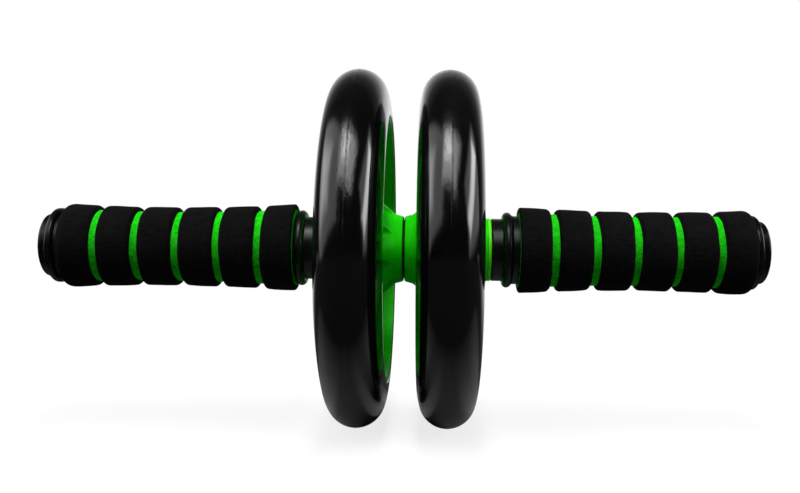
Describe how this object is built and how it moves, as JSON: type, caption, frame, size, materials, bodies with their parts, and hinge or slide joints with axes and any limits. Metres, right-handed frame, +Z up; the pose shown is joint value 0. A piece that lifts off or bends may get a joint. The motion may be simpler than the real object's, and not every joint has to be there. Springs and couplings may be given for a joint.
{
  "type": "ab wheel roller",
  "caption": "Ab roller: spoked green wheels with round black tyres, side by side on a steel axle between black handles that have green-and-black banded foam grips and stepped end caps.",
  "frame": {"origin": "middle of the axle, in the plane between the two wheels", "axes": "+X along the axle towards the right-hand handle, +Y away from the viewer, +Z up"},
  "size_m": [0.3626, 0.18, 0.18],
  "materials": {
    "tyre_black": "gloss",
    "hub_green": "satin",
    "bush_green": "satin",
    "handle_black": "satin",
    "cap_black": "gloss",
    "foam_black": "matte",
    "foam_green": "matte",
    "axle_steel": "satin"
  },
  "bodies": {
    "handle_frame": {"axle": "axle_steel", "left_handle": "handle_black", "left_end_cap": "cap_black", "left_grip_sleeve": "foam_green", "left_grip_band_1": "foam_black", "left_grip_band_2": "foam_black", "left_grip_band_3": "foam_black", "left_grip_band_4": "foam_black", "left_grip_band_5": "foam_black", "left_grip_band_6": "foam_black", "right_handle": "handle_black", "right_end_cap": "cap_black", "right_grip_sleeve": "foam_green", "right_grip_band_1": "foam_black", "right_grip_band_2": "foam_black", "right_grip_band_3": "foam_black", "right_grip_band_4": "foam_black", "right_grip_band_5": "foam_black", "right_grip_band_6": "foam_black"},
    "left_wheel": {"left_hub": "hub_green", "left_tyre": "tyre_black", "left_inner_bush": "bush_green", "left_outer_bush": "bush_green"},
    "right_wheel": {"right_hub": "hub_green", "right_tyre": "tyre_black", "right_inner_bush": "bush_green", "right_outer_bush": "bush_green"}
  },
  "joints": [
    {"name": "left_wheel_spin", "type": "hinge", "parent": "handle_frame", "child": "left_wheel", "pos_m": [-0.0224, 0, 0], "axis": [1, 0, 0], "continuous": true},
    {"name": "right_wheel_spin", "type": "hinge", "parent": "handle_frame", "child": "right_wheel", "pos_m": [0.0224, 0, 0], "axis": [1, 0, 0], "continuous": true}
  ]
}
